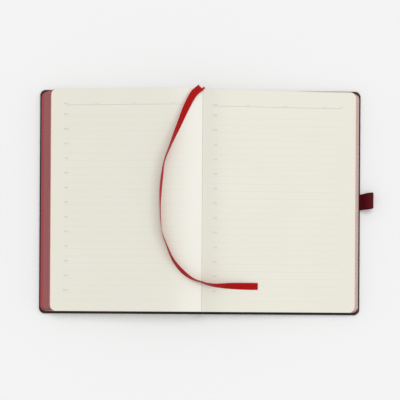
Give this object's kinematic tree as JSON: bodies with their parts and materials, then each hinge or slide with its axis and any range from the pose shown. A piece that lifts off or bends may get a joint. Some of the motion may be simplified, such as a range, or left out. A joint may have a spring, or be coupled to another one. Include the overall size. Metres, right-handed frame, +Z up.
{
  "type": "notebook",
  "caption": "Thick day planner lying open: soft black cover, sewn red-edged page block with ruled leaves, red ribbon marker and elastic pen loop",
  "frame": {"origin": "on the table, under the middle of the whole object (open cover and pen loop)", "axes": "+X to the back cover's fore-edge and pen loop, +Y to the head of the pages, +Z up from the table"},
  "size_m": [0.3204, 0.2161, 0.0266],
  "materials": {
    "cover_skin": "fine-grained matt leather-look coating",
    "board": "grey pulp board",
    "endpaper": "smooth uncoated paper",
    "lining": "open cotton mull and paper",
    "page": "uncoated cream paper, ruled in grey, edges dyed red",
    "thread": "waxed linen thread",
    "ribbon": "woven satin",
    "elastic": "ribbed knitted elastic"
  },
  "bodies": {
    "back_cover": {"back_board": "board", "back_cover_skin": "cover_skin", "back_pastedown": "endpaper", "back_flyleaf": "endpaper", "signature_12": "page", "pen_loop_anchor": "elastic"},
    "pen_loop": {"pen_loop": "elastic"},
    "back_joint": {"back_joint_skin": "cover_skin", "back_joint_lining": "lining"},
    "spine": {"spine_skin": "cover_skin", "spine_lining": "lining"},
    "front_joint": {"front_joint_skin": "cover_skin", "front_joint_lining": "lining"},
    "front_cover": {"front_board": "board", "front_cover_skin": "cover_skin", "front_pastedown": "endpaper", "front_flyleaf": "endpaper"},
    "signature_01_body": {"signature_01": "page"},
    "signature_02_body": {"signature_02": "page"},
    "signature_03_body": {"signature_03": "page"},
    "signature_04_body": {"signature_04": "page"},
    "signature_05_body": {"signature_05": "page"},
    "signature_06_body": {"signature_06": "page"},
    "signature_07_body": {"signature_07": "page"},
    "signature_08_body": {"signature_08": "page"},
    "signature_09_left_body": {"signature_09_left": "page"},
    "signature_09_right_body": {"signature_09_right": "page", "sewing_thread": "thread"},
    "signature_10_body": {"signature_10": "page"},
    "signature_11_body": {"signature_11": "page"},
    "left_leaf_body": {"left_leaf": "page", "ribbon_loop": "ribbon"},
    "right_leaf_body": {"right_leaf": "page", "ribbon_tail": "ribbon"}
  },
  "joints": [
    {"name": "book_closing", "type": "hinge", "parent": "back_cover", "child": "back_joint", "pos_m": [-0.002, 0, 0.0015], "axis": [0, -1, 0], "range_deg": [-13.5, 0], "deforming": ["ribbon_loop", "ribbon_tail"]},
    {"name": "spine_fold", "type": "hinge", "parent": "back_joint", "child": "spine", "pos_m": [-0.00338, 0, 0.00727], "axis": [0, -1, 0], "range_deg": [-76.5, 0]},
    {"name": "front_joint_fold", "type": "hinge", "parent": "spine", "child": "front_joint", "pos_m": [-0.00932, 0, 0.00727], "axis": [0, -1, 0], "range_deg": [-76.5, 0]},
    {"name": "front_cover_fold", "type": "hinge", "parent": "front_joint", "child": "front_cover", "pos_m": [-0.0107, 0, 0.0015], "axis": [0, -1, 0], "range_deg": [-13.5, 0]},
    {"name": "signature_01_fold", "type": "hinge", "parent": "front_joint", "child": "signature_01_body", "pos_m": [-0.0107, 0, 0.0015], "axis": [0, -1, 0], "range_deg": [-13.5, 0]},
    {"name": "signature_02_fold", "type": "hinge", "parent": "front_joint", "child": "signature_02_body", "pos_m": [-0.01003, 0, 0.00722], "axis": [0, -1, 0], "range_deg": [-13.5, 0]},
    {"name": "signature_03_fold", "type": "hinge", "parent": "front_joint", "child": "signature_03_body", "pos_m": [-0.00935, 0, 0.01293], "axis": [0, -1, 0], "range_deg": [-13.5, 0]},
    {"name": "signature_04_fold", "type": "hinge", "parent": "front_joint", "child": "signature_04_body", "pos_m": [-0.00867, 0, 0.01865], "axis": [0, -1, 0], "range_deg": [-13.5, 0]},
    {"name": "signature_05_fold", "type": "hinge", "parent": "spine", "child": "signature_05_body", "pos_m": [-0.00739, 0, 0.00936], "axis": [0, -1, 0], "range_deg": [-90, 0]},
    {"name": "signature_06_fold", "type": "hinge", "parent": "spine", "child": "signature_06_body", "pos_m": [-0.00671, 0, 0.01004], "axis": [0, -1, 0], "range_deg": [-90, 0]},
    {"name": "signature_07_fold", "type": "hinge", "parent": "spine", "child": "signature_07_body", "pos_m": [-0.00603, 0, 0.01072], "axis": [0, -1, 0], "range_deg": [-90, 0]},
    {"name": "signature_08_fold", "type": "hinge", "parent": "spine", "child": "signature_08_body", "pos_m": [-0.00536, 0, 0.01139], "axis": [0, -1, 0], "range_deg": [-90, 0]},
    {"name": "signature_09_left_fold", "type": "hinge", "parent": "back_joint", "child": "signature_09_left_body", "pos_m": [-0.00199, 0, 0.01053], "axis": [0, -1, 0], "range_deg": [-166.5, 0]},
    {"name": "signature_09_right_fold", "type": "hinge", "parent": "back_joint", "child": "signature_09_right_body", "pos_m": [-0.00371, 0, 0.01598], "axis": [0, -1, 0], "range_deg": [0, 13.5]},
    {"name": "signature_10_fold", "type": "hinge", "parent": "back_joint", "child": "signature_10_body", "pos_m": [-0.00314, 0, 0.01116], "axis": [0, -1, 0], "range_deg": [0, 13.5]},
    {"name": "signature_11_fold", "type": "hinge", "parent": "back_joint", "child": "signature_11_body", "pos_m": [-0.00257, 0, 0.00633], "axis": [0, -1, 0], "range_deg": [0, 13.5]},
    {"name": "left_leaf_turn", "type": "hinge", "parent": "signature_09_left_body", "child": "left_leaf_body", "pos_m": [-0.00415, 0, 0.0134], "axis": [0, 1, 0], "range_deg": [0, 150], "deforming": ["left_leaf"]},
    {"name": "right_leaf_turn", "type": "hinge", "parent": "signature_09_right_body", "child": "right_leaf_body", "pos_m": [-0.00415, 0, 0.0134], "axis": [0, -1, 0], "range_deg": [0, 110], "deforming": ["right_leaf"]},
    {"name": "pen_loop_flex", "type": "hinge", "parent": "back_cover", "child": "pen_loop", "pos_m": [0.1478, 0, 0.0017], "axis": [0, 1, 0], "range_deg": [-6, 8], "stiffness_Nm_per_rad": 0.05}
  ],
  "couplings": [
    {"joint": "spine_fold", "follows": "book_closing", "ratio": 5.6667},
    {"joint": "front_joint_fold", "follows": "book_closing", "ratio": 5.6667},
    {"joint": "front_cover_fold", "follows": "book_closing", "ratio": 1},
    {"joint": "signature_01_fold", "follows": "book_closing", "ratio": 1},
    {"joint": "signature_02_fold", "follows": "book_closing", "ratio": 1},
    {"joint": "signature_03_fold", "follows": "book_closing", "ratio": 1},
    {"joint": "signature_04_fold", "follows": "book_closing", "ratio": 1},
    {"joint": "signature_05_fold", "follows": "book_closing", "ratio": 6.6667},
    {"joint": "signature_06_fold", "follows": "book_closing", "ratio": 6.6667},
    {"joint": "signature_07_fold", "follows": "book_closing", "ratio": 6.6667},
    {"joint": "signature_08_fold", "follows": "book_closing", "ratio": 6.6667},
    {"joint": "signature_09_left_fold", "follows": "book_closing", "ratio": 12.333},
    {"joint": "signature_09_right_fold", "follows": "book_closing", "ratio": -1},
    {"joint": "signature_10_fold", "follows": "book_closing", "ratio": -1},
    {"joint": "signature_11_fold", "follows": "book_closing", "ratio": -1}
  ]
}
